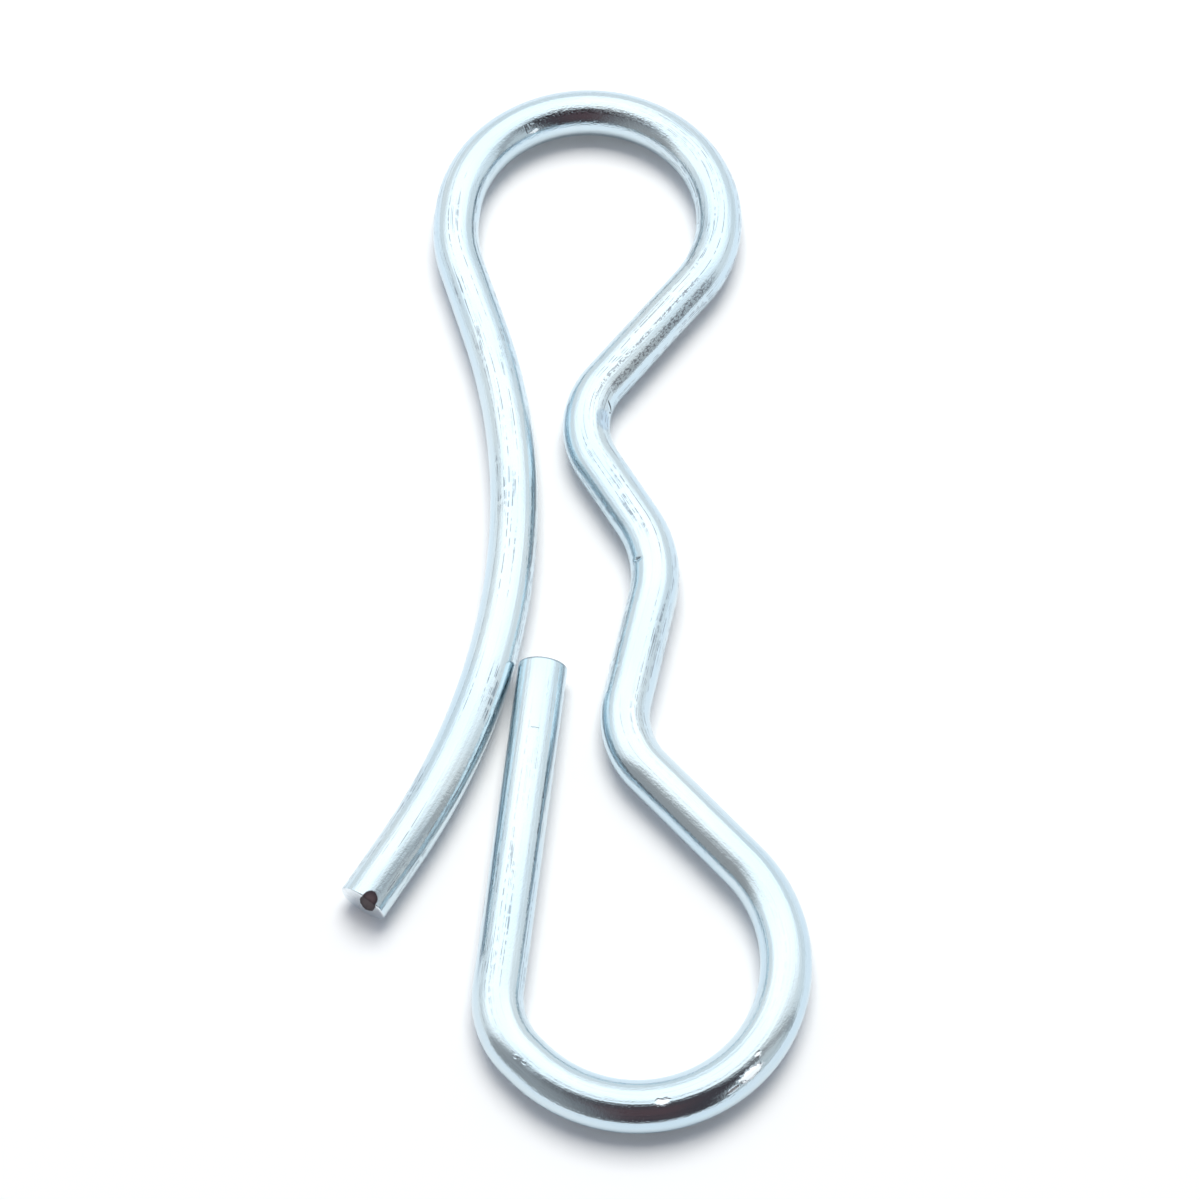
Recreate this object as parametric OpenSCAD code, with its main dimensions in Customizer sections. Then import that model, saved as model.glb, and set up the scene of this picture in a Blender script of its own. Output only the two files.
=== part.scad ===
// Bow tie cotter pin: one length of round spring wire, bent flat.
// The long arm goes through the cross hole of a clevis pin, the body hugs the clevis pin from
// outside, and the short leg ends against the arm, so that the bottom loop springs shut.
// Lengths are in millimetres, angles in degrees, and bend radii run to the middle of the wire.
// The two loops stand above each other on the Y axis's direction, with the arm on the -X side.

/* [Wire] */
// Diameter of the spring wire, about 3/32 inch
wire_diameter = 2.4; // [1.6:0.1:3.2]
// How much the wire's radius swells round a bend, where the tools press it
bend_swell = 0.005; // [0.002:0.001:0.02]
// Width of the bevel that the shears leave around each cut end
end_bevel = 0.25; // [0.05:0.05:0.5]

/* [Loops] */
// Bend radius of the top and the bottom loop
loop_radius = 6.9; // [6:0.1:9]

/* [Arm] */
// Straight wire between the top loop and the shoulder
shoulder_lead = 0.5; // [0.2:0.1:2]
// Bend radius of the shoulder, where the arm opens out of the top loop
shoulder_radius = 8; // [7:0.1:11]
// Turn of the shoulder
shoulder_angle = 24; // [12:1:36]
// Lean of the neck from the long axis
neck_lean = 14.5; // [8:0.5:20]
// Straight neck between the shoulder and the bow
neck_length = 4.2; // [1:0.1:8]
// Bend radius of the bow, the long curve that makes the arm spring
bow_radius = 34.5; // [28:0.5:42]
// Lean of the tail from the long axis
tail_lean = 35; // [26:1:44]
// Straight tail at the arm's free end
tail_length = 3; // [2:0.1:8]

/* [Body] */
// Diameter of the clevis pin that the seat fits, 7/16 inch
shaft_diameter = 11.1; // [9.5:0.1:12.7]
// Bend radius of the seat
seat_radius = 5.75; // [4.5:0.05:7.5]
// Bend radius of the two noses, above and below the seat
nose_radius = 4.15; // [3:0.05:5.5]
// Clear space between the upper nose and the line of the arm
nose_gap = 1.4; // [0.6:0.1:2.4]
// How much farther from the arm the lower nose stands
nose_setback = 1; // [0:0.1:2]
// Straight wire from the top loop to the upper nose
upper_run = 7.4; // [5:0.1:10]
// Straight wire from the upper nose to the seat
seat_lead_in = 3.9; // [3:0.1:6]
// Straight wire from the seat to the lower nose
seat_lead_out = 5.6; // [4:0.1:8]
// Straight wire from the lower nose to the bottom loop
lower_run = 6.5; // [4:0.1:9]

/* [Leg] */
// Where the bottom loop ends, as an angle round it below its leftmost point
loop_end_angle = 42; // [30:1:54]
// Straight wire between the bottom loop and the leg's bend
leg_lead = 0.5; // [0.2:0.1:2]
// Bend radius that turns the bottom loop into the leg
leg_bend_radius = 3.9; // [3:0.1:6]
// Straight wire of the leg, up to its cut end
leg_length = 16.4; // [13:0.1:19]
// Space between the leg's end and the arm, which touch when the pin is bent home
leg_gap = 0.12; // [0.05:0.01:0.5]

/* [Hidden] */
wire_colour = [0.80, 0.84, 0.88];
wire_radius = wire_diameter / 2;
bent_radius = wire_radius + bend_swell;
// Each straight reaches this far into the bends at its ends
lap = 0.05;

// A heading is the way that the wire runs from the arm's tail to the leg's end, from +X towards +Y.
function along(heading) = [cos(heading), sin(heading)];
function left_of(heading) = [-sin(heading), cos(heading)];
function angle_of(v) = atan2(v.y, v.x);

// A bend is [centre, radius, turn], with a turn of 1 to the left and -1 to the right.
LEFT = 1;
RIGHT = -1;
function bend_at(point, heading, radius, turn) =
    [point + turn * radius * left_of(heading), radius, turn];
function side(bend) = bend[1] * bend[2];
function point_on(bend, heading) = bend[0] - side(bend) * left_of(heading);

// Heading of the straight wire that leaves bend a and enters bend b
function heading_between(a, b) =
    angle_of(b[0] - a[0]) - asin((side(b) - side(a)) / norm(b[0] - a[0]));

// Bend at x that comes below bend a, after a straight run, and turns the other way
function bend_below(a, x, radius, run) =
    [[x, a[0].y - sqrt(run ^ 2 + (a[1] + radius) ^ 2 - (x - a[0].x) ^ 2)], radius, -a[2]];

// The arm, from the top loop down
top_loop = [[0, 0], loop_radius, RIGHT];
neck_heading = 90 + neck_lean;
tail_heading = 90 - tail_lean;
shoulder_end = neck_heading - shoulder_angle;
shoulder_foot = point_on(top_loop, shoulder_end) - shoulder_lead * along(shoulder_end);
shoulder = bend_at(shoulder_foot, shoulder_end, shoulder_radius, RIGHT);
neck_foot = point_on(shoulder, neck_heading) - neck_length * along(neck_heading);
bow = bend_at(neck_foot, neck_heading, bow_radius, LEFT);
tail_start = point_on(bow, tail_heading);
tail_tip = tail_start - tail_length * along(tail_heading);
arm_x = bow[0].x + bow_radius;

// The body, from the top loop down. Each bend keeps its own distance from the arm.
upper_nose_x = arm_x + nose_gap + 2 * bent_radius + nose_radius;
seat_x = arm_x + shaft_diameter / 2 + bent_radius - seat_radius;
upper_nose = bend_below(top_loop, upper_nose_x, nose_radius, upper_run);
seat = bend_below(upper_nose, seat_x, seat_radius, seat_lead_in);
lower_nose = bend_below(seat, upper_nose_x + nose_setback, nose_radius, seat_lead_out);
bottom_loop = bend_below(lower_nose, 0, loop_radius, lower_run);

// The leg. Its end lies on a circle round the bow's centre, so that it stops leg_gap short of the arm.
loop_end = loop_end_angle - 270;
loop_foot = point_on(bottom_loop, loop_end) + leg_lead * along(loop_end);
leg_bend = bend_at(loop_foot, loop_end, leg_bend_radius, RIGHT);
leg_reach = norm([leg_bend_radius, leg_length]);
to_bow = bow[0] - leg_bend[0];
end_to_bow = bow_radius + bent_radius + leg_gap + wire_radius;
swing = acos((leg_reach ^ 2 + norm(to_bow) ^ 2 - end_to_bow ^ 2) / (2 * leg_reach * norm(to_bow)));
leg_heading = angle_of(to_bow) - swing - atan2(leg_bend_radius, leg_length) - 360;

// Every bend in order, and the heading into each and out of the last
bends = [bow, shoulder, top_loop, upper_nose, seat, lower_nose, bottom_loop, leg_bend];
headings = [
    tail_heading,
    for (i = [0 : len(bends) - 2]) heading_between(bends[i], bends[i + 1]),
    leg_heading
];

// Middle of the outline: the arm's tip reaches farthest left, and the two loops everywhere else
left_edge = tail_tip.x - wire_radius * cos(tail_lean) + end_bevel * min(sin(tail_lean), cos(tail_lean));
right_edge = loop_radius + bent_radius;
middle = [(left_edge + right_edge) / 2, bottom_loop[0].y / 2];

$fn = 64;

module bent(bend, enter, leave) {
    translate(bend[0])
        rotate(min(enter, leave) - 90 * bend[2])
            rotate_extrude(angle = abs(leave - enter))
                translate([bend[1], 0])
                    circle(r = bent_radius);
}

module straight(from, to) {
    translate(from)
        rotate([0, 90, angle_of(to - from)])
            translate([0, 0, -lap])
                cylinder(r = wire_radius, h = norm(to - from) + 2 * lap);
}

// A straight from a bend to a sheared face with its edge bevelled
module cut_end(from, heading, length) {
    translate(from)
        rotate([0, 90, heading]) {
            translate([0, 0, -lap])
                cylinder(r = wire_radius, h = length - end_bevel + lap);
            translate([0, 0, length - end_bevel])
                cylinder(r1 = wire_radius, r2 = wire_radius - end_bevel, h = end_bevel);
        }
}

module wire() {
    color(wire_colour)
        translate([-middle.x, -middle.y, bent_radius]) {
            cut_end(tail_start, tail_heading + 180, tail_length);
            for (i = [0 : len(bends) - 1])
                bent(bends[i], headings[i], headings[i + 1]);
            for (i = [1 : len(bends) - 1])
                straight(point_on(bends[i - 1], headings[i]), point_on(bends[i], headings[i]));
            cut_end(point_on(leg_bend, leg_heading), leg_heading, leg_length);
        }
}

wire();
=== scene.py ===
import cmath
import math
from collections import namedtuple

import bmesh
import bpy
import numpy as np
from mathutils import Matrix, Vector


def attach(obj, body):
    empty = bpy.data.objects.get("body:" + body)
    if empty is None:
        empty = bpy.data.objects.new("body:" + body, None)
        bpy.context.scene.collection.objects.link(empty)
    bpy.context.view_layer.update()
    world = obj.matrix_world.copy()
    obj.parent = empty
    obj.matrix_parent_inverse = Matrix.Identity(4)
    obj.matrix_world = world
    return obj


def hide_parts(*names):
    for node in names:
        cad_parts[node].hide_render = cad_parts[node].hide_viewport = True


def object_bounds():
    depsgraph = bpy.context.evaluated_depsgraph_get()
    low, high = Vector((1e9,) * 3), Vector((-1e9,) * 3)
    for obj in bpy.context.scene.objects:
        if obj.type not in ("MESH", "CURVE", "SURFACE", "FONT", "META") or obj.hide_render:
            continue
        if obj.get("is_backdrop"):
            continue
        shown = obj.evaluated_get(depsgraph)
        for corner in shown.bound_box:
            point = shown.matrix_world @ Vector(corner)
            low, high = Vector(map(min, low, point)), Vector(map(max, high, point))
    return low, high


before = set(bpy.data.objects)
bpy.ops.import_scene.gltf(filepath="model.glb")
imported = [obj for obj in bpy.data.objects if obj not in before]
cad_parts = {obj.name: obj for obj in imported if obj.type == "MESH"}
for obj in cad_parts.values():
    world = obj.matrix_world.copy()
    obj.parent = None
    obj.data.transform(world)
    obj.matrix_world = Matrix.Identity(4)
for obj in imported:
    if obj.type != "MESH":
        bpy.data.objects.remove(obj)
cad_low, cad_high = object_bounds()


# ---------------------------------------------------------------------------
# The line that the wire follows
# The pin is one length of round spring wire, bent flat on a wire former. Its middle line is
# eight bends joined by straights, from the arm's free tail round to the leg's cut end. Sizes of
# the pin are in millimetres and headings in degrees, and a bend's radius is its middle line's.
# ---------------------------------------------------------------------------

WIRE_RADIUS = 1.2
BENT_RADIUS = 1.205
LOOP_RADIUS = 6.9
SHOULDER_LEAD, SHOULDER_RADIUS, SHOULDER_ANGLE = 0.5, 8.0, 24.0
NECK_LEAN, NECK_LENGTH = 14.5, 4.2
BOW_RADIUS = 34.5
TAIL_LEAN, TAIL_LENGTH = 35.0, 3.0
SHAFT_DIAMETER = 11.1
SEAT_RADIUS, NOSE_RADIUS, NOSE_GAP, NOSE_SETBACK = 5.75, 4.15, 1.4, 1.0
UPPER_RUN, SEAT_LEAD_IN, SEAT_LEAD_OUT, LOWER_RUN = 7.4, 3.9, 5.6, 6.5
LOOP_END_ANGLE = 42.0
LEG_LEAD, LEG_BEND_RADIUS, LEG_LENGTH, LEG_GAP = 0.5, 3.9, 16.4, 0.12
LINE_STEP = 0.1
MM_PER_METRE = 1000

LEFT, RIGHT = 1, -1
Bend = namedtuple("Bend", "centre radius turn")


def metres(millimetres):
    """A size of the pin in metres, which meshes and materials use."""
    return millimetres / MM_PER_METRE


def along(heading):
    """The way a heading points, as a complex number: real is X and imaginary is Y."""
    return cmath.rect(1.0, math.radians(heading))


def heading_of(way):
    return math.degrees(cmath.phase(way))


def bend_at(point, heading, radius, turn):
    """The bend that starts at a point of the wire, where it runs along heading."""
    return Bend(point + turn * radius * 1j * along(heading), radius, turn)


def point_on(bend, heading):
    return bend.centre - bend.turn * bend.radius * 1j * along(heading)


def heading_between(a, b):
    """Heading of the straight that leaves bend a and enters bend b."""
    way = b.centre - a.centre
    sides = b.turn * b.radius - a.turn * a.radius
    return heading_of(way) - math.degrees(math.asin(sides / abs(way)))


def bend_below(a, x, radius, run):
    """The bend at x that follows bend a after a straight run, and turns the other way."""
    drop = math.sqrt(run**2 + (a.radius + radius) ** 2 - (x - a.centre.real) ** 2)
    return Bend(complex(x, a.centre.imag - drop), radius, -a.turn)


top_loop = Bend(0j, LOOP_RADIUS, RIGHT)
neck_heading = 90 + NECK_LEAN
tail_heading = 90 - TAIL_LEAN
shoulder_end = neck_heading - SHOULDER_ANGLE
shoulder_foot = point_on(top_loop, shoulder_end) - SHOULDER_LEAD * along(shoulder_end)
shoulder = bend_at(shoulder_foot, shoulder_end, SHOULDER_RADIUS, RIGHT)
neck_foot = point_on(shoulder, neck_heading) - NECK_LENGTH * along(neck_heading)
bow = bend_at(neck_foot, neck_heading, BOW_RADIUS, LEFT)
arm_x = bow.centre.real + BOW_RADIUS

nose_x = arm_x + NOSE_GAP + 2 * BENT_RADIUS + NOSE_RADIUS
seat_x = arm_x + SHAFT_DIAMETER / 2 + BENT_RADIUS - SEAT_RADIUS
upper_nose = bend_below(top_loop, nose_x, NOSE_RADIUS, UPPER_RUN)
seat = bend_below(upper_nose, seat_x, SEAT_RADIUS, SEAT_LEAD_IN)
lower_nose = bend_below(seat, nose_x + NOSE_SETBACK, NOSE_RADIUS, SEAT_LEAD_OUT)
bottom_loop = bend_below(lower_nose, 0, LOOP_RADIUS, LOWER_RUN)

# The leg swings in until its end stands LEG_GAP off the bowed arm.
loop_end = LOOP_END_ANGLE - 270
leg_foot = point_on(bottom_loop, loop_end) + LEG_LEAD * along(loop_end)
leg_bend = bend_at(leg_foot, loop_end, LEG_BEND_RADIUS, RIGHT)
to_bow = bow.centre - leg_bend.centre
leg_reach = math.hypot(LEG_BEND_RADIUS, LEG_LENGTH)
end_to_bow = BOW_RADIUS + BENT_RADIUS + LEG_GAP + WIRE_RADIUS
swing = math.acos(
    (leg_reach**2 + abs(to_bow) ** 2 - end_to_bow**2) / (2 * leg_reach * abs(to_bow))
)
leg_lag = math.atan2(LEG_BEND_RADIUS, LEG_LENGTH)
leg_heading = heading_of(to_bow) - math.degrees(swing + leg_lag) - 360

bends = [bow, shoulder, top_loop, upper_nose, seat, lower_nose, bottom_loop, leg_bend]
headings = [tail_heading]
headings += [heading_between(a, b) for a, b in zip(bends, bends[1:])]
headings += [leg_heading]


def wire_line():
    """Points along the wire's middle line, LINE_STEP apart, as complex numbers."""
    corners = [point_on(bow, tail_heading) - TAIL_LENGTH * along(tail_heading)]
    points = []
    for bend, enter, leave in zip(bends, headings, headings[1:]):
        start = point_on(bend, enter)
        count = max(2, round(abs(start - corners[-1]) / LINE_STEP))
        points += list(np.linspace(corners[-1], start, count, endpoint=False))
        count = max(2, round(math.radians(abs(leave - enter)) * bend.radius / LINE_STEP))
        points += [point_on(bend, h) for h in np.linspace(enter, leave, count, endpoint=False)]
        corners.append(point_on(bend, leave))
    tip = corners[-1] + LEG_LENGTH * along(leg_heading)
    points += list(np.linspace(corners[-1], tip, round(LEG_LENGTH / LINE_STEP)))
    return np.array(points)


line = wire_line()
# Both loops reach the solid's highest X, and the top loop reaches its highest Y.
loop_reach = LOOP_RADIUS + BENT_RADIUS
loop_x = cad_high.x * MM_PER_METRE - loop_reach
loop_y = cad_high.y * MM_PER_METRE - loop_reach
placed_line = line + complex(loop_x, loop_y)
line_height = metres(BENT_RADIUS)
line_points = [(metres(point.real), metres(point.imag), line_height) for point in placed_line]
line_mesh = bpy.data.meshes.new("wire_line")
line_mesh.from_pydata(line_points, [(i, i + 1) for i in range(len(line_points) - 1)], [])
wire_line_object = bpy.data.objects.new("wire_line", line_mesh)
bpy.context.scene.collection.objects.link(wire_line_object)
wire_length = metres(float(np.abs(np.diff(line)).sum()))


# ---------------------------------------------------------------------------
# The straight blank
# Spring wire drawn through a round die and sheared to length. The shears leave a flat face
# with a rolled edge at each end. It is made straight along X first, with Y to the left of the
# wire's run and Z up, so that every mark on it can be placed as it lies on the drawn wire.
# ---------------------------------------------------------------------------

SIDES = 60
RING_STEP = 0.1
EDGE_RADIUS = 0.08
FACE_RINGS, EDGE_RINGS = 8, 5

wire_radius = metres(WIRE_RADIUS)
edge = metres(EDGE_RADIUS)

# Each ring is its run along the wire and its radius. The end's flat face comes first.
end_profile = [(0.0, r) for r in np.linspace(0, wire_radius - edge, FACE_RINGS + 1)[1:]]
for angle in np.linspace(0, math.pi / 2, EDGE_RINGS + 1)[1:]:
    run = edge * (1 - math.cos(angle))
    end_profile.append((run, wire_radius - edge * (1 - math.sin(angle))))
body_runs = np.linspace(edge, wire_length - edge, round(wire_length / metres(RING_STEP)))
rings = (
    end_profile
    + [(run, wire_radius) for run in body_runs[1:-1]]
    + [(wire_length - run, radius) for run, radius in reversed(end_profile)]
)
blank_points = [(0.0, 0.0, 0.0)]
for run, radius in rings:
    for i in range(SIDES):
        turn = 2 * math.pi * i / SIDES
        blank_points.append((run, radius * math.sin(turn), radius * math.cos(turn)))
blank_points.append((wire_length, 0.0, 0.0))

blank_faces = []
last = len(blank_points) - 1
for i in range(SIDES):
    j = (i + 1) % SIDES
    blank_faces.append((0, 1 + i, 1 + j))
    blank_faces.append((last, last - SIDES + j, last - SIDES + i))
    for ring in range(len(rings) - 1):
        a = 1 + ring * SIDES
        b = a + SIDES
        blank_faces.append((a + i, b + i, b + j, a + j))
blank_mesh = bpy.data.meshes.new("wire")
blank_mesh.from_pydata(blank_points, [], blank_faces)
blank_mesh.shade_smooth()
blank = bpy.data.objects.new("wire_blank", blank_mesh)
bpy.context.scene.collection.objects.link(blank)


# ---------------------------------------------------------------------------
# The bent wire
# The blank is bent along the line. The die leaves faint lines all along the wire, and the
# forming pins leave small nicks and pressed spots where they gripped it at the bends. Places
# of marks are runs along the wire and angles from its top, towards the left of its run.
# ---------------------------------------------------------------------------

DIE_LINE_DEPTH = 0.003
DIE_LINES_ALONG, DIE_LINES_ACROSS = 40, 2600
NOISE_MIDDLE = 0.5

# The die's few deeper scratches: angle (degrees) and half width. All wander together, by up
# to SCRATCH_WANDER radians from one side to the other, and SCRATCH_CORE of each is full.
DIE_SCRATCHES = [(14, 0.035), (-9, 0.030), (38, 0.025), (-62, 0.030), (97, 0.035), (-140, 0.030)]
SCRATCH_WANDER, SCRATCH_CORE = 0.5, 0.3

# A mark has a run, an angle (degrees), a half length along the wire, a half width round it, a
# depth, the share of it that is a soft rim, and how far its floor leans to the left (degrees).
Mark = namedtuple("Mark", "run angle half_length half_width depth rim lean")

# Dents move the metal.
DENTS = [
    Mark(54.90, -49, 0.50, 0.34, 0.012, 0.8, 0),
    Mark(76.60, 47, 0.90, 0.60, 0.030, 0.5, 7),
    Mark(85.25, -46, 0.16, 0.34, 0.070, 0.6, 0),
    Mark(95.20, 62, 0.30, 0.50, 0.030, 0.7, 0),
    Mark(124.45, 20, 0.60, 0.40, 0.012, 0.8, 0),
]

# Nicks only mark the plating. A deep one is coloured darker, and one that leans inwards catches
# the light and also gets a painted highlight.
NICKS = [
    Mark(46.95, -41, 0.07, 0.24, 0.020, 0.6, 0),
    Mark(47.20, -37, 0.05, 0.20, -0.015, 0.7, 0),
    Mark(47.50, -33, 0.16, 0.06, 0.015, 0.7, 0),
    Mark(47.45, -54, 0.42, 0.11, 0.0, 0.5, -22),
    Mark(85.20, -44, 0.05, 0.22, 0.030, 0.5, 0),
    Mark(114.15, 37, 0.74, 0.27, 0.0, 0.35, -34),
    Mark(115.15, 41, 0.42, 0.12, 0.0, 0.8, -18),
    Mark(113.40, 17, 0.22, 0.16, 0.0, 0.7, -14),
    Mark(118.15, 10, 0.42, 0.21, 0.0, 0.5, -17),
    Mark(124.60, 18, 0.20, 0.10, 0.0, 0.7, 14),
    Mark(125.05, 22, 0.14, 0.12, 0.0, 0.7, 16),
    Mark(141.30, -4, 0.03, 0.34, 0.012, 0.8, 0),
]
DEEP_NICK = 0.015

# A spot on the upper nose's dent that was pressed duller.
PRESSED_SPOT = Mark(76.60, 48, 0.85, 0.62, 0.0, 0.25, 0)

# Creases, where that bend folded the wire's skin, drawn only as lines of painted shade, and
# how far each is turned (degrees).
CREASES = [
    (Mark(75.32, 63, 0.46, 0.08, 0.0, 0.4, 0), 55),
    (Mark(75.70, 72, 0.13, 0.06, 0.0, 0.4, 0), -50),
]

# Strips scuffed by the forming pins: first and last run, angle and half angle (degrees).
SCUFFS = [(46.8, 55.5, -31, 11), (65.5, 76.0, 15, 6), (65.0, 75.2, 43, 14)]
SCUFF_FADE, SCUFF_CORE = 1.5, 0.4

# First and last runs that were wrapped round the forming pins, and the share of the die lines
# that was rubbed out there. It fades in round the first run and out past the last.
WRAPPED_RUNS = [(43, 52, 0.85), (96, 124, 0.85), (136, 160, 0.5)]
WRAP_BEFORE, WRAP_WITHIN, WRAP_AFTER = 4, 2, 8

# The top loop's left half has a rougher skin, in full between the middle two of these runs.
ROUGH_SKIN = (46, 49, 56, 60)
ROUGHNESS_ELSEWHERE = 0.4


def add_node(tree, kind, settings=None, **inputs):
    """A node with its settings and its inputs, each a value or another node's socket."""
    node = tree.nodes.new(kind)
    for name, value in (settings or {}).items():
        setattr(node, name, value)
    for name, value in inputs.items():
        key = int(name[1:]) if name[1:].isdigit() else name.replace("_", " ")
        if isinstance(value, bpy.types.NodeSocket):
            tree.links.new(value, node.inputs[key])
        else:
            node.inputs[key].default_value = value
    return node


def maths(tree, operation, a, b=0.0, c=0.0):
    node = add_node(tree, "ShaderNodeMath", {"operation": operation}, _0=a, _1=b, _2=c)
    return node.outputs[0]


def length_of(tree, vector):
    node = add_node(tree, "ShaderNodeVectorMath", {"operation": "LENGTH"}, _0=vector)
    return node.outputs["Value"]


def ease(tree, value, low, high, to_low=0.0, to_high=1.0):
    """Follows value smoothly from to_low to to_high while it goes from low to high."""
    node = add_node(
        tree,
        "ShaderNodeMapRange",
        {"interpolation_type": "SMOOTHSTEP"},
        _0=value,
        _1=low,
        _2=high,
        _3=to_low,
        _4=to_high,
    )
    return node.outputs[0]


def near(tree, value, middle, inner, outer, peak=1.0):
    """Peak where value is within inner of middle, down to 0 where it is outer away from it."""
    away = maths(tree, "ABSOLUTE", maths(tree, "SUBTRACT", value, middle))
    return ease(tree, away, inner, outer, peak, 0.0)


def mark_at(tree, run, angle, mark, ragged=0.0):
    """A mark's height at a run and an angle, in metres, and 1 inside it, down to 0 outside."""
    ahead = maths(tree, "SUBTRACT", run, metres(mark.run))
    ahead = maths(tree, "DIVIDE", ahead, metres(mark.half_length))
    aside = maths(tree, "SUBTRACT", angle, math.radians(mark.angle))
    aside = maths(tree, "MULTIPLY", aside, WIRE_RADIUS / mark.half_width)
    away = add_node(tree, "ShaderNodeCombineXYZ", _0=ahead, _1=aside)
    away = maths(tree, "ADD", length_of(tree, away.outputs[0]), ragged)
    inside = ease(tree, away, 1.0 - mark.rim, 1.0, to_low=1.0, to_high=0.0)
    slope = -math.tan(math.radians(mark.lean)) * metres(mark.half_width)
    floor = maths(tree, "MULTIPLY_ADD", aside, slope, -metres(mark.depth))
    return maths(tree, "MULTIPLY", floor, inside), inside


def bending_tree():
    """Marks the blank, then lays it along the wire's line."""
    tree = bpy.data.node_groups.new("bend_wire", "GeometryNodeTree")
    face = tree.interface
    face.new_socket("Geometry", in_out="INPUT", socket_type="NodeSocketGeometry")
    face.new_socket("Line", in_out="INPUT", socket_type="NodeSocketObject")
    face.new_socket("Wire Radius", in_out="INPUT", socket_type="NodeSocketFloat")
    face.new_socket("Die Line Depth", in_out="INPUT", socket_type="NodeSocketFloat")
    face.new_socket("Finish", in_out="INPUT", socket_type="NodeSocketMaterial")
    face.new_socket("Geometry", in_out="OUTPUT", socket_type="NodeSocketGeometry")
    given = tree.nodes.new("NodeGroupInput").outputs

    place = add_node(tree, "GeometryNodeInputPosition").outputs[0]
    drawn = add_node(
        tree,
        "GeometryNodeStoreNamedAttribute",
        {"data_type": "FLOAT_VECTOR", "domain": "POINT"},
        Geometry=given["Geometry"],
        Name="drawn",
        Value=place,
    )
    parts = add_node(tree, "ShaderNodeSeparateXYZ", _0=place).outputs
    angle = maths(tree, "ARCTAN2", parts["Y"], parts["Z"])

    die_stretch = add_node(tree, "ShaderNodeVectorMath", {"operation": "MULTIPLY"}, _0=place)
    die_stretch.inputs[1].default_value = (DIE_LINES_ALONG, DIE_LINES_ACROSS, DIE_LINES_ACROSS)
    die_lines = add_node(
        tree,
        "ShaderNodeTexNoise",
        {"noise_dimensions": "3D"},
        Vector=die_stretch.outputs[0],
        Scale=1.0,
        Detail=2.0,
    )
    height = maths(tree, "SUBTRACT", die_lines.outputs[0], NOISE_MIDDLE)
    height = maths(tree, "MULTIPLY", height, given["Die Line Depth"])

    for dent in DENTS:
        sunk, _ = mark_at(tree, parts["X"], angle, dent)
        height = maths(tree, "ADD", height, sunk)

    radial = add_node(tree, "ShaderNodeCombineXYZ", _0=0.0, _1=parts["Y"], _2=parts["Z"])
    outwards = maths(tree, "DIVIDE", height, given["Wire Radius"])
    push = add_node(tree, "ShaderNodeVectorMath", {"operation": "SCALE"}, _0=radial.outputs[0])
    tree.links.new(outwards, push.inputs["Scale"])
    marked = add_node(
        tree, "GeometryNodeSetPosition", Geometry=drawn.outputs[0], Offset=push.outputs[0]
    )

    line_info = add_node(tree, "GeometryNodeObjectInfo", Object=given["Line"])
    curve = add_node(tree, "GeometryNodeMeshToCurve", _0=line_info.outputs["Geometry"])
    here = add_node(
        tree,
        "GeometryNodeSampleCurve",
        {"mode": "LENGTH", "use_all_curves": False},
        Curves=curve.outputs[0],
        Length=parts["X"],
    )
    up = add_node(tree, "ShaderNodeCombineXYZ", _0=0.0, _1=0.0, _2=1.0).outputs[0]
    left = add_node(
        tree,
        "ShaderNodeVectorMath",
        {"operation": "CROSS_PRODUCT"},
        _0=up,
        _1=here.outputs["Tangent"],
    )
    to_left = add_node(
        tree, "ShaderNodeVectorMath", {"operation": "SCALE"}, _0=left.outputs[0], Scale=parts["Y"]
    )
    rise = add_node(tree, "ShaderNodeCombineXYZ", _0=0.0, _1=0.0, _2=parts["Z"])
    flat = add_node(
        tree,
        "ShaderNodeVectorMath",
        {"operation": "ADD"},
        _0=here.outputs["Position"],
        _1=to_left.outputs[0],
    )
    bent = add_node(
        tree, "ShaderNodeVectorMath", {"operation": "ADD"}, _0=flat.outputs[0], _1=rise.outputs[0]
    )
    laid = add_node(
        tree, "GeometryNodeSetPosition", Geometry=marked.outputs[0], Position=bent.outputs[0]
    )
    whole = add_node(tree, "GeometryNodeRealizeInstances", _0=laid.outputs[0])
    finished = add_node(
        tree, "GeometryNodeSetMaterial", Geometry=whole.outputs[0], Material=given["Finish"]
    )
    result = tree.nodes.new("NodeGroupOutput")
    tree.links.new(finished.outputs[0], result.inputs["Geometry"])
    return tree


# Bright zinc plating with a clear blue passivate: mirror-like, cool, a little uneven in tint,
# with the wire's die lines showing through as fine dark dashes that run along it. Where the
# shears broke through the last of the arm's tip, a dark reflection is painted into the colour.
BLUE_ZINC, PALE_ZINC = (0.60, 0.745, 0.83, 1), (0.66, 0.77, 0.82, 1)
PRESSED_ZINC = (0.44, 0.59, 0.73, 1)
SHEARED_ZINC = (0.90, 0.93, 0.95, 1)
DARK_DASH = (0.15, 0.18, 0.23, 1)
DARK_SCUFF = (0.14, 0.15, 0.18, 1)
FOLD_SHADE = (0.02, 0.03, 0.05, 1)
RIM_DARK_REFLECTION = (0.17, 0.22, 0.27, 1)
DARK_NICK, NICK_HIGHLIGHT = (0.08, 0.09, 0.11, 1), (0.92, 0.97, 1.0, 1)
# The dark spot at the arm's tip: a painted dark reflection, with painted shade at its rim.
TIP_DARK_REFLECTION, TIP_RIM_SHADE = (0.085, 0.058, 0.062, 1), (0.035, 0.024, 0.030, 1)

# Roughness of the plating, and what the marks and the dark spot at the tip add to it.
SMOOTH_ZINC, HAZY_ZINC = 0.09, 0.15
DASH_ROUGHNESS, NICK_ROUGHNESS, TIP_SPOT_ROUGHNESS = 0.2, 0.22, 0.65

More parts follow.
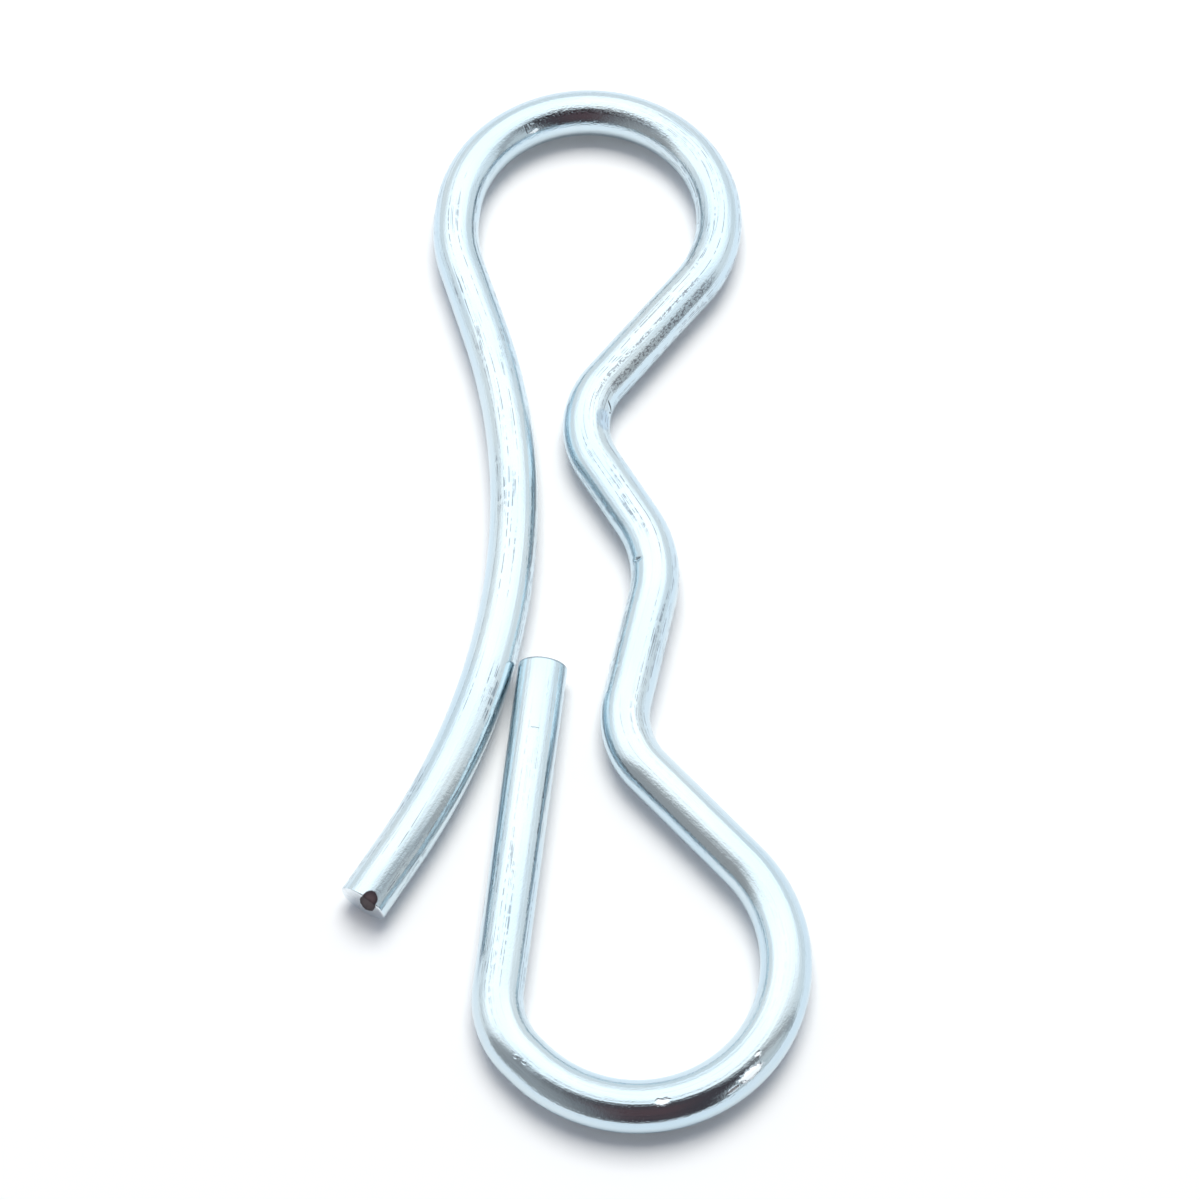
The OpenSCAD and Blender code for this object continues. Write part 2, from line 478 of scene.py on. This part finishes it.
# Heights of the patterns in the plating.
FACET_HEIGHT, STREAK_HEIGHT, DAPPLE_HEIGHT, SPECKLE_HEIGHT = 0.040, 0.016, 0.008, 0.004
DASH_HEIGHT, SCUFF_HEIGHT, PEEL_HEIGHT = -0.004, -0.002, 0.014

# The sheared face's depth at the arm's tip, the ellipsoid of the dark spot painted there as a
# reflection, and the painted dark rim round the leg's end. Each pair is where a mask starts and
# where it ends.
SHEARED_DEPTHS = (0.01, 0.05)
TIP_SPOT_PLACE, TIP_SPOT_TURN = (0.0, -0.34, 0.60), 0.20
TIP_SPOT_SIZE, TIP_SPOT_RAGGEDNESS = (0.56, 0.42, 1.22), 0.3
RIM_REFLECTION_DEPTHS, RIM_REFLECTION_RADII = (0.14, 0.06), (1.00, 1.12)

zinc = bpy.data.materials.new("zinc_plate")
zinc.use_nodes = True
zinc_tree = zinc.node_tree
zinc_tree.nodes.clear()
drawn_place = add_node(zinc_tree, "ShaderNodeAttribute", {"attribute_name": "drawn"})
drawn_place = drawn_place.outputs["Vector"]
drawn_parts = add_node(zinc_tree, "ShaderNodeSeparateXYZ", _0=drawn_place).outputs
drawn_run = drawn_parts["X"]
drawn_angle = maths(zinc_tree, "ARCTAN2", drawn_parts["Y"], drawn_parts["Z"])


def grain(along, across, detail, roughness=0.5):
    """Noise on the drawn wire, with so many grains to the metre along and across the wire."""
    scale = (along, across, across)
    stretched = add_node(zinc_tree, "ShaderNodeMapping", Vector=drawn_place, Scale=scale)
    noise = add_node(
        zinc_tree,
        "ShaderNodeTexNoise",
        {"noise_dimensions": "3D"},
        Vector=stretched.outputs[0],
        Scale=1.0,
        Detail=detail,
        Roughness=roughness,
    )
    return noise.outputs["Fac"]


def patches(along, across, detail, low, high, least=0.0, roughness=0.5):
    """Patches of grain: 1 where the noise is over high, and least where it is under low."""
    return ease(zinc_tree, grain(along, across, detail, roughness), low, high, least, 1.0)


def stretch(first, full, ebb, last, elsewhere=0.0):
    """1 along the wire from full to ebb, and elsewhere's value before first and after last."""
    rise = ease(zinc_tree, drawn_run, metres(first), metres(full), elsewhere, 1.0)
    fall = ease(zinc_tree, drawn_run, metres(ebb), metres(last), 1.0, elsewhere)
    return maths(zinc_tree, "MULTIPLY", rise, fall)


def ellipsoid(place, middle, turned, half_sizes):
    """How far out a place is in a turned ellipsoid: 0 in its middle and 1 on its surface."""
    node = add_node(
        zinc_tree,
        "ShaderNodeMapping",
        {"vector_type": "TEXTURE"},
        Vector=place,
        Location=middle,
        Rotation=turned,
        Scale=half_sizes,
    )
    return length_of(zinc_tree, node.outputs[0])


def blend_colour(tree, factor, first, second):
    node = add_node(tree, "ShaderNodeMix", {"data_type": "RGBA"}, _0=factor, _6=first, _7=second)
    return node.outputs[2]


def stained_or_shaded(colour, where, overlay, share):
    """The colour, with a share of another laid over it where the mask is 1: a stain, or painted
    light or shade.
    """
    return blend_colour(zinc_tree, maths(zinc_tree, "MULTIPLY", where, share), colour, overlay)


tint = patches(along=120, across=700, detail=3.0, low=0.35, high=0.65)
plating = blend_colour(zinc_tree, tint, BLUE_ZINC, PALE_ZINC)

# Die lines: fine ones in patches, and the deeper scratches, which wander a little. Both are
# broken into dashes, and rubbed out where the loops were wrapped round the forming pins.
fine_lines = patches(along=420, across=24000, detail=0.0, low=0.58, high=0.66)
line_patches = patches(along=150, across=1400, detail=1.0, low=0.50, high=0.60)
dashes = maths(zinc_tree, "MULTIPLY", fine_lines, line_patches)
wander = maths(zinc_tree, "SUBTRACT", grain(along=60, across=0, detail=1.0), NOISE_MIDDLE)
wandering = maths(zinc_tree, "MULTIPLY_ADD", wander, SCRATCH_WANDER, drawn_angle)
worn = patches(along=170, across=1200, detail=1.0, low=0.40, high=0.56, least=0.1)
for around, half_width in DIE_SCRATCHES:
    half_angle = half_width / WIRE_RADIUS
    core = SCRATCH_CORE * half_angle
    scratch = near(zinc_tree, wandering, math.radians(around), core, half_angle)
    scratch = maths(zinc_tree, "MULTIPLY", scratch, worn)
    dashes = maths(zinc_tree, "MAXIMUM", dashes, scratch)
broken = patches(along=2600, across=2600, detail=1.0, low=0.36, high=0.56)
dashes = maths(zinc_tree, "MULTIPLY", dashes, broken)
for first, last_run, rubbed in WRAPPED_RUNS:
    wrapped = stretch(first - WRAP_BEFORE, first + WRAP_WITHIN, last_run, last_run + WRAP_AFTER)
    kept = maths(zinc_tree, "MULTIPLY_ADD", wrapped, -rubbed, 1.0)
    dashes = maths(zinc_tree, "MULTIPLY", dashes, kept)

# Scuffed strips, with clean flecks left in them.
scuffed = 0.0
for first, last_run, around, half_angle in SCUFFS:
    scuff = stretch(first, first + SCUFF_FADE, last_run - SCUFF_FADE, last_run)
    half_angle = math.radians(half_angle)
    core = SCUFF_CORE * half_angle
    across = near(zinc_tree, drawn_angle, math.radians(around), core, half_angle)
    scuffed = maths(zinc_tree, "MAXIMUM", scuffed, maths(zinc_tree, "MULTIPLY", scuff, across))
dull = patches(along=5800, across=10800, detail=2.0, low=0.46, high=0.56, roughness=0.6)
scuffed = maths(zinc_tree, "MULTIPLY", scuffed, dull)

# The creases' lines of painted shade lie on the wire's skin as if it were unrolled flat.
unrolled = maths(zinc_tree, "MULTIPLY", drawn_angle, wire_radius)
unrolled = add_node(zinc_tree, "ShaderNodeCombineXYZ", _0=drawn_run, _1=unrolled)
fold_shade_mask = 0.0
for mark, turned in CREASES:
    middle = (metres(mark.run), math.radians(mark.angle) * wire_radius, 0.0)
    half_sizes = (metres(mark.half_length), metres(mark.half_width), 1.0)
    fold_line_shade = ellipsoid(unrolled.outputs[0], middle, (0.0, 0.0, math.radians(turned)), half_sizes)
    fold_line_shade = ease(zinc_tree, fold_line_shade, 1.0 - mark.rim, 1.0, to_low=1.0, to_high=0.0)
    fold_shade_mask = maths(zinc_tree, "MAXIMUM", fold_shade_mask, fold_line_shade)

_, dulled = mark_at(zinc_tree, drawn_run, drawn_angle, PRESSED_SPOT)
plating = stained_or_shaded(plating, dulled, PRESSED_ZINC, share=0.6)
plating = stained_or_shaded(plating, dashes, DARK_DASH, share=0.7)
plating = stained_or_shaded(plating, scuffed, DARK_SCUFF, share=0.62)

# The sheared face at the arm's tip, and a dark rim painted round the leg's end for the dark
# reflection at its edge.
from_axis = add_node(zinc_tree, "ShaderNodeCombineXYZ", _0=drawn_parts["Y"], _1=drawn_parts["Z"])
from_axis = length_of(zinc_tree, from_axis.outputs[0])
low, high = (metres(depth) for depth in SHEARED_DEPTHS)
sheared = ease(zinc_tree, drawn_run, low, high, to_low=1.0, to_high=0.0)
plating = stained_or_shaded(plating, sheared, SHEARED_ZINC, share=0.7)
# Painted shade along the creases.
plating = stained_or_shaded(plating, fold_shade_mask, FOLD_SHADE, share=1.0)
# A ring of painted dark reflection round the rim of the leg's end.
low, high = (wire_length - metres(depth) for depth in RIM_REFLECTION_DEPTHS)
rim_reflection = ease(zinc_tree, drawn_run, low, high)
low, high = (metres(radius) for radius in RIM_REFLECTION_RADII)
rim_reflection = maths(zinc_tree, "MULTIPLY", rim_reflection, ease(zinc_tree, from_axis, low, high))
plating = stained_or_shaded(plating, rim_reflection, RIM_DARK_REFLECTION, share=0.65)

# Where the shears broke through at the arm's tip, a dark spot painted for the dark room's
# reflection in the sheared facet, darker towards its ragged rim as painted shade.
middle = tuple(metres(part) for part in TIP_SPOT_PLACE)
half_sizes = tuple(metres(part) for part in TIP_SPOT_SIZE)
tip_reflection_spot = ellipsoid(drawn_place, middle, (TIP_SPOT_TURN, 0.0, 0.0), half_sizes)
tip_spot_noise = grain(along=3200, across=3200, detail=2.0)
tip_spot_noise = maths(
    zinc_tree, "MULTIPLY_ADD", tip_spot_noise, TIP_SPOT_RAGGEDNESS, -TIP_SPOT_RAGGEDNESS * NOISE_MIDDLE
)
tip_reflection_spot = maths(zinc_tree, "ADD", tip_reflection_spot, tip_spot_noise)
painted_tip_reflection = ease(zinc_tree, tip_reflection_spot, low=0.45, high=0.95)
painted_tip_reflection = blend_colour(zinc_tree, painted_tip_reflection, TIP_DARK_REFLECTION, TIP_RIM_SHADE)
tip_reflection_spot = ease(zinc_tree, tip_reflection_spot, low=0.92, high=1.02, to_low=1.0, to_high=0.0)
plating = blend_colour(zinc_tree, tip_reflection_spot, plating, painted_tip_reflection)

# Fine patterns that break up the gloss and ripple the plating.
speckle = grain(along=15000, across=15000, detail=2.0, roughness=0.6)
streaks = grain(along=45, across=4800, detail=1.0)
facets = grain(along=20, across=900, detail=1.0)
dapple = grain(along=1500, across=3000, detail=2.0)
roughness = ease(zinc_tree, speckle, 0.3, 0.7, to_low=SMOOTH_ZINC, to_high=HAZY_ZINC)
roughness = maths(zinc_tree, "MULTIPLY_ADD", dashes, DASH_ROUGHNESS, roughness)
roughness = maths(zinc_tree, "MULTIPLY_ADD", tip_reflection_spot, TIP_SPOT_ROUGHNESS, roughness)

peel = grain(along=7000, across=14000, detail=2.0)
rough_skin = stretch(*ROUGH_SKIN, elsewhere=ROUGHNESS_ELSEWHERE)
peel = maths(zinc_tree, "MULTIPLY", peel, rough_skin)
relief = 0.0
for pattern, height in [
    (facets, FACET_HEIGHT),
    (streaks, STREAK_HEIGHT),
    (dapple, DAPPLE_HEIGHT),
    (speckle, SPECKLE_HEIGHT),
    (dashes, DASH_HEIGHT),
    (scuffed, SCUFF_HEIGHT),
    (peel, PEEL_HEIGHT),
]:
    relief = maths(zinc_tree, "MULTIPLY_ADD", pattern, metres(height), relief)

ragged = grain(along=5000, across=9000, detail=2.0)
ragged = maths(zinc_tree, "SUBTRACT", ragged, NOISE_MIDDLE)
for nick in NICKS:
    sunk, inside = mark_at(zinc_tree, drawn_run, drawn_angle, nick, ragged)
    relief = maths(zinc_tree, "ADD", relief, sunk)
    roughness = maths(zinc_tree, "MULTIPLY_ADD", inside, NICK_ROUGHNESS, roughness)
    # A nick that leans inwards is painted whiter as a painted highlight; a deep one is coloured
    # darker.
    if nick.lean < 0:
        plating = stained_or_shaded(plating, inside, NICK_HIGHLIGHT, share=0.8)
    elif nick.depth >= DEEP_NICK:
        plating = stained_or_shaded(plating, inside, DARK_NICK, share=0.6)
bump = add_node(zinc_tree, "ShaderNodeBump", Strength=1.0, Distance=1.0, Height=relief)
surface = add_node(
    zinc_tree,
    "ShaderNodeBsdfPrincipled",
    Base_Color=plating,
    Metallic=maths(zinc_tree, "SUBTRACT", 1.0, tip_reflection_spot),
    Roughness=roughness,
    Normal=bump.outputs[0],
)
zinc_out = zinc_tree.nodes.new("ShaderNodeOutputMaterial")
zinc_tree.links.new(surface.outputs[0], zinc_out.inputs["Surface"])

bend_tree = bending_tree()
bender = blank.modifiers.new("bend", "NODES")
bender.node_group = bend_tree
inputs = [item for item in bend_tree.interface.items_tree if item.in_out == "INPUT"]
sockets = {item.name: item.identifier for item in inputs}
bender[sockets["Line"]] = wire_line_object
bender[sockets["Wire Radius"]] = wire_radius
bender[sockets["Die Line Depth"]] = metres(DIE_LINE_DEPTH)
bender[sockets["Finish"]] = zinc

depsgraph = bpy.context.evaluated_depsgraph_get()
wire_mesh = bpy.data.meshes.new_from_object(
    blank.evaluated_get(depsgraph), preserve_all_data_layers=True, depsgraph=depsgraph
)
wire_mesh.name = "wire"
wire = bpy.data.objects.new("spring_wire", wire_mesh)
bpy.context.scene.collection.objects.link(wire)
bpy.data.objects.remove(blank)
bpy.data.objects.remove(wire_line_object)
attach(wire, "root")
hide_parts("wire")


# ---------------------------------------------------------------------------
# The table
# A smooth white sheet that the pin lies on. It keeps the pin's soft shadow, and comes out
# white around it. Sizes of the sheet and of the lights are in metres.
# ---------------------------------------------------------------------------

TABLE_HALF = 0.8
SHEET_WHITE = 0.92
SHEET_LIFT = 0.08
WHITE_ROOM = (0.05, 0.12)

table_mesh = bpy.data.meshes.new("table")
table_corners = [(-1, -1), (1, -1), (1, 1), (-1, 1)]
table_mesh.from_pydata(
    [(x * TABLE_HALF, y * TABLE_HALF, 0.0) for x, y in table_corners], [], [(0, 1, 2, 3)]
)
table = bpy.data.objects.new("table", table_mesh)
bpy.context.scene.collection.objects.link(table)
sheet = bpy.data.materials.new("white_sheet")
sheet.use_nodes = True
sheet_tree = sheet.node_tree
sheet_tree.nodes.clear()


def seen_directly(tree):
    """1 for what the camera sees by itself, in a reflection or through glass, and 0 for light."""
    ray = add_node(tree, "ShaderNodeLightPath").outputs
    seen = maths(tree, "MAXIMUM", ray["Is Camera Ray"], ray["Is Glossy Ray"])
    return maths(tree, "MAXIMUM", seen, ray["Is Transmission Ray"])


seen = seen_directly(sheet_tree)
sheet_colour = (SHEET_WHITE, SHEET_WHITE, SHEET_WHITE, 1)
paper = add_node(sheet_tree, "ShaderNodeBsdfDiffuse", Color=sheet_colour)
lift = maths(sheet_tree, "MULTIPLY", seen, SHEET_LIFT)
lift = add_node(sheet_tree, "ShaderNodeEmission", Color=(1, 1, 1, 1), Strength=lift)
near_sheet = add_node(sheet_tree, "ShaderNodeAddShader", _0=paper.outputs[0], _1=lift.outputs[0])
# Away from the pin the sheet runs out into the white room.
far_sheet = add_node(sheet_tree, "ShaderNodeEmission", Color=(1, 1, 1, 1), Strength=1.0)
away = add_node(sheet_tree, "ShaderNodeTexCoord").outputs["Object"]
away = ease(sheet_tree, length_of(sheet_tree, away), *WHITE_ROOM)
sheet_mix = add_node(
    sheet_tree,
    "ShaderNodeMixShader",
    _0=maths(sheet_tree, "MULTIPLY", away, seen),
    _1=near_sheet.outputs[0],
    _2=far_sheet.outputs[0],
)
sheet_out = sheet_tree.nodes.new("ShaderNodeOutputMaterial")
sheet_tree.links.new(sheet_mix.outputs[0], sheet_out.inputs["Surface"])
table_mesh.materials.append(sheet)
table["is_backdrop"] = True


# ---------------------------------------------------------------------------
# Studio light
# A white light tent stands over the table. It glows overhead and behind, and is open to the
# dark room on the near side, which draws the dark lines that bright metal needs.
# ---------------------------------------------------------------------------

TENT_RADIUS = 0.55
TENT_SEGMENTS, TENT_RINGS = 48, 32
FOOT_SLACK = 0.001

# The cloth's brightness, what its lit part adds, and the share of both that lights the scene.
CLOTH_BRIGHTNESS, LIT_BRIGHTNESS, LIGHT_SHARE = 0.90, 0.62, 0.43
SEEN_CLOTH, LIGHTING_CLOTH = (1, 1, 1, 1), (0.83, 0.96, 1.20, 1)
DARK_ROOM, WARM_BENCH = (0.080, 0.066, 0.074, 1), (0.132, 0.078, 0.084, 1)

# Where the cloth is lit and where it is open, as parts of a unit vector from the pin: X to the
# right, Y to the back and Z up. Each pair is where a change starts and where it ends.
LIT_BACK, LIT_TOP, LIT_TURN = (-0.25, 0.30), (0.30, 0.72), -0.15
OPEN_FRONT = (-0.30, 0.02)
SHUT_RIGHT, OPEN_RIGHT_SHARE = (0.50, 0.70), 0.25
SHUT_LEFT, OPEN_LEFT_SHARE = (-0.75, -0.05), 0.62
GAP_Y, GAP_WIDTH, GAP_SIDES, GAP_SHARE = -0.22, (0.02, 0.14), (0.45, 0.70), 0.6
BENCH_Y, BENCH_DEPTH, BENCH_WIDTH = -0.68, (0.14, 0.36), (0.12, 0.42)

LAMP_SIZE, LAMP_POWER = 0.62, 9.6
LAMP_COLOUR = (1.0, 0.98, 0.92)
LAMP_PLACE = (0.06, 0.42, 0.93)

world = bpy.data.worlds.new("white_room")
bpy.context.scene.world = world
world.use_nodes = True
world.node_tree.nodes["Background"].inputs["Color"].default_value = (1, 1, 1, 1)
world.node_tree.nodes["Background"].inputs["Strength"].default_value = 1.0

tent_mesh = bpy.data.meshes.new("light_tent")
shell = bmesh.new()
bmesh.ops.create_uvsphere(
    shell, u_segments=TENT_SEGMENTS, v_segments=TENT_RINGS, radius=TENT_RADIUS
)
below = [v for v in shell.verts if v.co.z < -FOOT_SLACK]
bmesh.ops.delete(shell, geom=below, context="VERTS")
bmesh.ops.reverse_faces(shell, faces=shell.faces[:])
shell.to_mesh(tent_mesh)
shell.free()
tent = bpy.data.objects.new("light_tent", tent_mesh)
bpy.context.scene.collection.objects.link(tent)
tent.visible_camera = False
tent.visible_shadow = False

cloth = bpy.data.materials.new("tent_cloth")
cloth.use_nodes = True
cloth_tree = cloth.node_tree
cloth_tree.nodes.clear()
way = add_node(cloth_tree, "ShaderNodeTexCoord").outputs["Object"]
way = add_node(cloth_tree, "ShaderNodeVectorMath", {"operation": "NORMALIZE"}, _0=way)
way = add_node(cloth_tree, "ShaderNodeSeparateXYZ", _0=way.outputs[0]).outputs

# The cloth is brightest overhead and behind.
backwards = maths(cloth_tree, "MULTIPLY_ADD", way["X"], LIT_TURN, way["Y"])
lit = maths(
    cloth_tree,
    "MULTIPLY",
    ease(cloth_tree, backwards, *LIT_BACK),
    ease(cloth_tree, way["Z"], *LIT_TOP),
)
brightness = maths(cloth_tree, "MULTIPLY_ADD", lit, LIT_BRIGHTNESS, CLOTH_BRIGHTNESS)

# The near side is open: fully in the middle, partly at its left and hardly at its right.
# Behind it there is a thin gap at each side.
near_side = maths(
    cloth_tree,
    "MULTIPLY",
    ease(cloth_tree, way["Y"], *OPEN_FRONT, to_low=1.0, to_high=0.0),
    ease(cloth_tree, way["X"], *SHUT_RIGHT, to_low=1.0, to_high=OPEN_RIGHT_SHARE),
)
open_left = ease(cloth_tree, way["X"], *SHUT_LEFT, to_low=OPEN_LEFT_SHARE, to_high=1.0)
near_side = maths(cloth_tree, "MULTIPLY", near_side, open_left)
sideways = maths(cloth_tree, "ABSOLUTE", way["X"])
side_gaps = maths(
    cloth_tree,
    "MULTIPLY",
    near(cloth_tree, way["Y"], GAP_Y, *GAP_WIDTH, peak=GAP_SHARE),
    ease(cloth_tree, sideways, *GAP_SIDES),
)
opening = maths(cloth_tree, "MAXIMUM", near_side, side_gaps)

# The dark room shows through the opening, with a warmer bench in the middle of it.
bench = maths(
    cloth_tree,
    "MULTIPLY",
    near(cloth_tree, way["Y"], BENCH_Y, *BENCH_DEPTH),
    ease(cloth_tree, sideways, *BENCH_WIDTH, to_low=1.0, to_high=0.0),
)
room = blend_colour(cloth_tree, bench, DARK_ROOM, WARM_BENCH)
seen = seen_directly(cloth_tree)
cloth_white = blend_colour(cloth_tree, seen, LIGHTING_CLOTH, SEEN_CLOTH)
shade = blend_colour(cloth_tree, opening, cloth_white, room)

# Most of the light on the table comes from the lamp, so that the pin keeps its shadow.
dimmed = ease(cloth_tree, seen, 0.0, 1.0, LIGHT_SHARE, 1.0)
brightness = maths(cloth_tree, "MULTIPLY", brightness, dimmed)
cloth_light = add_node(cloth_tree, "ShaderNodeEmission", Color=shade, Strength=brightness)
cloth_out = cloth_tree.nodes.new("ShaderNodeOutputMaterial")
cloth_tree.links.new(cloth_light.outputs[0], cloth_out.inputs["Surface"])
tent_mesh.materials.append(cloth)
tent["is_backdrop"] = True

lamp_data = bpy.data.lights.new("overhead_lamp", "AREA")
lamp_data.shape = "SQUARE"
lamp_data.size = LAMP_SIZE
lamp_data.energy = LAMP_POWER
lamp_data.color = LAMP_COLOUR
lamp = bpy.data.objects.new("overhead_lamp", lamp_data)
lamp.location = LAMP_PLACE
lamp.rotation_euler = (-lamp.location).to_track_quat("-Z", "Y").to_euler()
lamp.visible_glossy = False
bpy.context.scene.collection.objects.link(lamp)


# ---------------------------------------------------------------------------
# Camera
# It looks down on the pin from the bottom loop's side.
# ---------------------------------------------------------------------------

SENSOR_WIDTH, LENS = 36.0, 82.62
NEAREST = 0.01
CAMERA_PLACE = (-0.0013755, -0.0623265, 0.122165)
CAMERA_AIM = Vector((0.002008, -0.001902, 0.001205))

camera_data = bpy.data.cameras.new("camera")
camera_data.sensor_width = SENSOR_WIDTH
camera_data.lens = LENS
camera_data.clip_start = NEAREST
camera = bpy.data.objects.new("camera", camera_data)
camera.location = CAMERA_PLACE
camera.rotation_euler = (CAMERA_AIM - camera.location).to_track_quat("-Z", "Y").to_euler()
bpy.context.scene.collection.objects.link(camera)
bpy.context.scene.camera = camera
bpy.context.scene.view_settings.view_transform = "Standard"

low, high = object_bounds()
